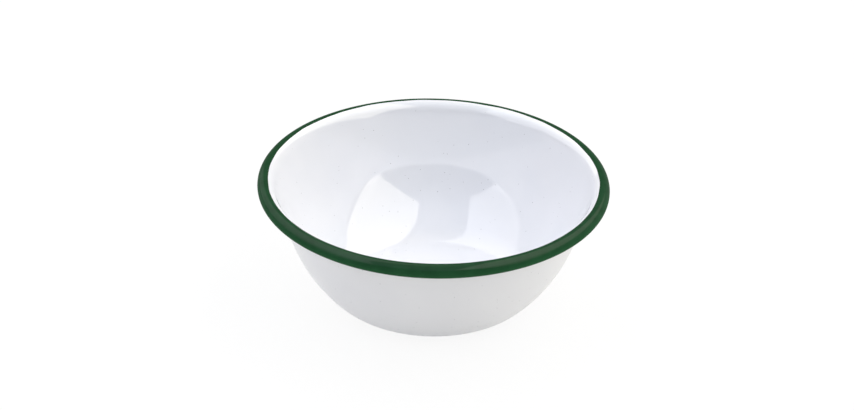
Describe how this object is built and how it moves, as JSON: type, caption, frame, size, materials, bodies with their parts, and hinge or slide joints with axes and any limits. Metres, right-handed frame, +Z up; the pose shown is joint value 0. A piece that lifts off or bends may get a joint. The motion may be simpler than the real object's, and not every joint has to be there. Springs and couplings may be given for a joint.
{
  "type": "enamel basin bowl",
  "caption": "Round enamelled steel basin bowl, white inside and out, with a rolled rim edged in dark green and a flat base to stand on.",
  "frame": {"origin": "centre of the flat underside, on the surface that the bowl stands on", "axes": "+Z up along the bowl's axis of revolution; X and Y are free, since the bowl is round"},
  "size_m": [0.16, 0.16, 0.06],
  "materials": {
    "steel": "pickled low-carbon sheet, covered by enamel all over",
    "ground_enamel": "dark cobalt ground coat, covered by the cover coats",
    "white_enamel": "glossy white glass enamel with a few fine pinholes",
    "green_enamel": "glossy dark green glass enamel with a hand-edged border"
  },
  "bodies": {
    "root": {"steel_shell": "steel", "inner_ground_coat": "ground_enamel", "outer_ground_coat": "ground_enamel", "inner_white_coat": "white_enamel", "outer_white_coat": "white_enamel", "green_rim_coat": "green_enamel"}
  },
  "joints": []
}
